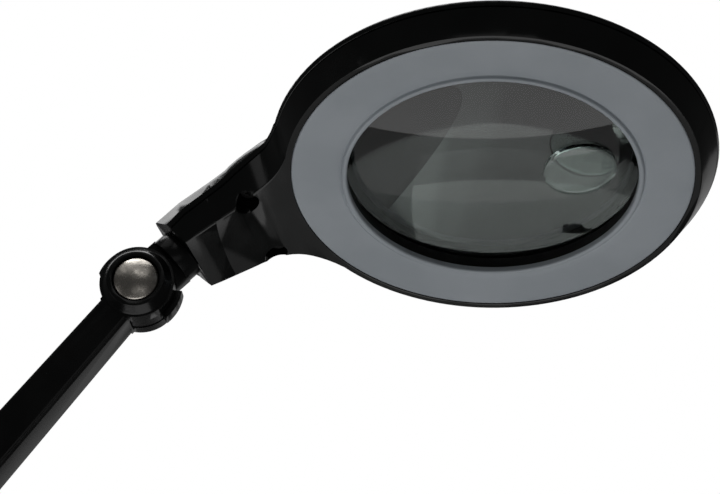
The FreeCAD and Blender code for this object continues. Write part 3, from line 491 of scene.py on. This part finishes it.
def thread_rows():
    """(height, radius, how much thread) rows up the clamp screw, in millimetres."""
    boss = [
        (-126.0, CLOSING_R, 0), (-126.0, BOSS_CHAMFER_R, 0), (-125.2, BOSS_R, 0), (-111.8, BOSS_R, 0),
        (-111.0, BOSS_CHAMFER_R, 0), (-111.0, SCREW_R, 0)]
    rod = []
    steps = ROWS_PER_TURN * THREAD_TURNS
    for k in range(steps + 1):
        height = THREAD_FOOT + k * SCREW_PITCH / ROWS_PER_TURN
        rod.append((height, SCREW_R, min(1.0, k / ROWS_PER_TURN, (steps - k) / ROWS_PER_TURN)))
    tip = [
        (-35.4, SCREW_R, 0), (-34.6, 4.3, 0), (-34.6, TIP_R, 0), (-32.2, TIP_R, 0), (-32.2, CLOSING_R, 0)]
    return boss + rod + tip


def threaded_screw():
    """Clamp screw with a right-hand thread cut into its rod."""
    builder = bmesh.new()
    rings = []
    for height, radius, thread in thread_rows():
        ring = []
        for k in range(SCREW_SIDES):
            share = k / SCREW_SIDES
            phase = (height / SCREW_PITCH - share) % 1.0
            cut = THREAD_DEPTH * thread * min(1.0, max(0.0, 2.6 * abs(phase - 0.5) - 0.15))
            turn = 2 * math.pi * share
            around = (radius - cut) * MM
            ring.append(builder.verts.new((around * math.cos(turn), around * math.sin(turn), height * MM)))
        rings.append(ring)
    for lower, upper in zip(rings, rings[1:]):
        for k in range(SCREW_SIDES):
            following = (k + 1) % SCREW_SIDES
            builder.faces.new((lower[k], lower[following], upper[following], upper[k]))
    builder.faces.new(list(reversed(rings[0])))
    builder.faces.new(rings[-1])
    builder.transform(Matrix.Translation((0, SCREW_Y * MM, 0)))
    mesh = bpy.data.meshes.new("threaded_screw")
    builder.to_mesh(mesh)
    builder.free()
    soften(mesh, 50)
    add_piece("threaded_screw", mesh, "steel", "screw", "clamp_screw")


def build_clamp():
    """Clamp, pads, handle and bush with their edges broken, and the screw with its thread."""
    for node, bevel in CLAMP_EDGES.items():
        finished(node, bevel)
    threaded_screw()


# ---- surroundings -----------------------------------------------------------------------------
FLOOR_HALF = 8.0
AROUND_SEEN = 1.0              # brightness of the surroundings where the camera sees them
AROUND_LIGHT = 0.05            # and for all other rays


def build_floor():
    """Pale floor, left out of reflections and bounced light so that black surfaces stay dark."""
    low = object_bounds()[0][2]
    half = FLOOR_HALF
    mesh = bpy.data.meshes.new("floor")
    corners = [(-half, -half, low), (half, -half, low), (half, half, low), (-half, half, low)]
    mesh.from_pydata(corners, [], [(0, 1, 2, 3)])
    floor = bpy.data.objects.new("floor", mesh)
    bpy.context.scene.collection.objects.link(floor)
    material, tree, shader = base_material("floor_pale")
    colour = ramp(tree, noise(tree, 4), (0.76, 0.76, 0.76), (0.80, 0.80, 0.80))
    tree.links.new(colour, shader.inputs["Base Color"])
    shader.inputs["Roughness"].default_value = 0.8
    mesh.materials.append(material)
    floor.visible_glossy = False
    floor.visible_diffuse = False


def build_world():
    """White surroundings that light the part only faintly."""
    scene = bpy.context.scene
    scene.view_settings.view_transform = "Standard"
    world = bpy.data.worlds.new("world")
    world.use_nodes = True
    scene.world = world
    tree = world.node_tree
    background = tree.nodes["Background"]
    background.inputs["Color"].default_value = (1, 1, 1, 1)
    path = tree.nodes.new("ShaderNodeLightPath")
    strength = tree.nodes.new("ShaderNodeMapRange")
    strength.inputs["To Min"].default_value = AROUND_LIGHT
    strength.inputs["To Max"].default_value = AROUND_SEEN
    tree.links.new(path.outputs["Is Camera Ray"], strength.inputs["Value"])
    tree.links.new(strength.outputs["Result"], background.inputs["Strength"])


SKY_STRENGTH = 1.0
SKY_SPREAD = 50                # degrees
OVERHEAD = (                   # name, position, size and power of each light that aims at the head
    ("key", (-0.9, -0.9, 2.3), (1.4, 1.4), 2.2),
    ("second_key", (0.3, -1.6, 1.8), (1.2, 0.8), 2.0),
    ("top", (0.1, 0.5, 2.6), (2.4, 1.6), 30))
BESIDE = (                     # the same, for lights that the camera doesn't see
    ("front", (0.35, -1.7, 0.0), (1.2, 0.5), 0.6),
    ("left", (-1.5, -0.6, 0.2), (0.6, 0.8), 0.6))
BEHIND = (                     # pale panels behind the lamp that face the camera's side
    ("backdrop", (0.8, 2.4, 1.4), (3.1, 3.0), 9),
    ("high_left", (-1.5, 2.4, 2.8), (1.5, 1.1), 6))
FACING_UP = (                  # name, Y, depth and power of the panels below the head
    ("panel", -0.15, 0.9, 2.95),
    ("far_panel", 0.45, 0.3, 0.2))
PANEL_X = 0.05
PANEL_WIDTH = 0.9
PANEL_Z = -0.09


def area_light(name, position, target, size, power):
    """Rectangular light at a position that aims at a target."""
    data = bpy.data.lights.new(name, "AREA")
    data.shape = "RECTANGLE"
    data.size = size[0]
    data.size_y = size[1]
    data.energy = power
    light = bpy.data.objects.new(name, data)
    bpy.context.scene.collection.objects.link(light)
    light.location = position
    light.rotation_euler = (Vector(target) - Vector(position)).to_track_quat("-Z", "Y").to_euler()
    return light


def build_lights():
    """Soft lights above and beside, pale panels behind, and two panels below the head that face up."""
    for name, position, size, power in OVERHEAD:
        area_light(name, position, HEAD_ORIGIN, size, power)
    sky = bpy.data.objects.new("sky", bpy.data.lights.new("sky", "SUN"))
    sky.data.energy = SKY_STRENGTH
    sky.data.angle = math.radians(SKY_SPREAD)
    bpy.context.scene.collection.objects.link(sky)
    hidden = []
    for name, position, size, power in BESIDE:
        hidden.append(area_light(name, position, HEAD_ORIGIN, size, power))
    for name, position, size, power in BEHIND:
        in_front = (position[0], 0.0, position[2])
        hidden.append(area_light(name, position, in_front, size, power))
    for name, y, depth, power in FACING_UP:
        place = (PANEL_X, y, PANEL_Z)
        panel = area_light(name, place, (PANEL_X, y, 1.0), (PANEL_WIDTH, depth), power)
        panel.rotation_euler = (math.pi, 0, 0)
        hidden.append(panel)
    for light in hidden:
        light.visible_camera = False


make_camera()
for node_name, node_object in NODES.items():
    set_material(node_object, SLOT_OF[node_name])
build_head()
build_caps()
build_arms()
build_clamp()
build_floor()
build_world()
build_lights()
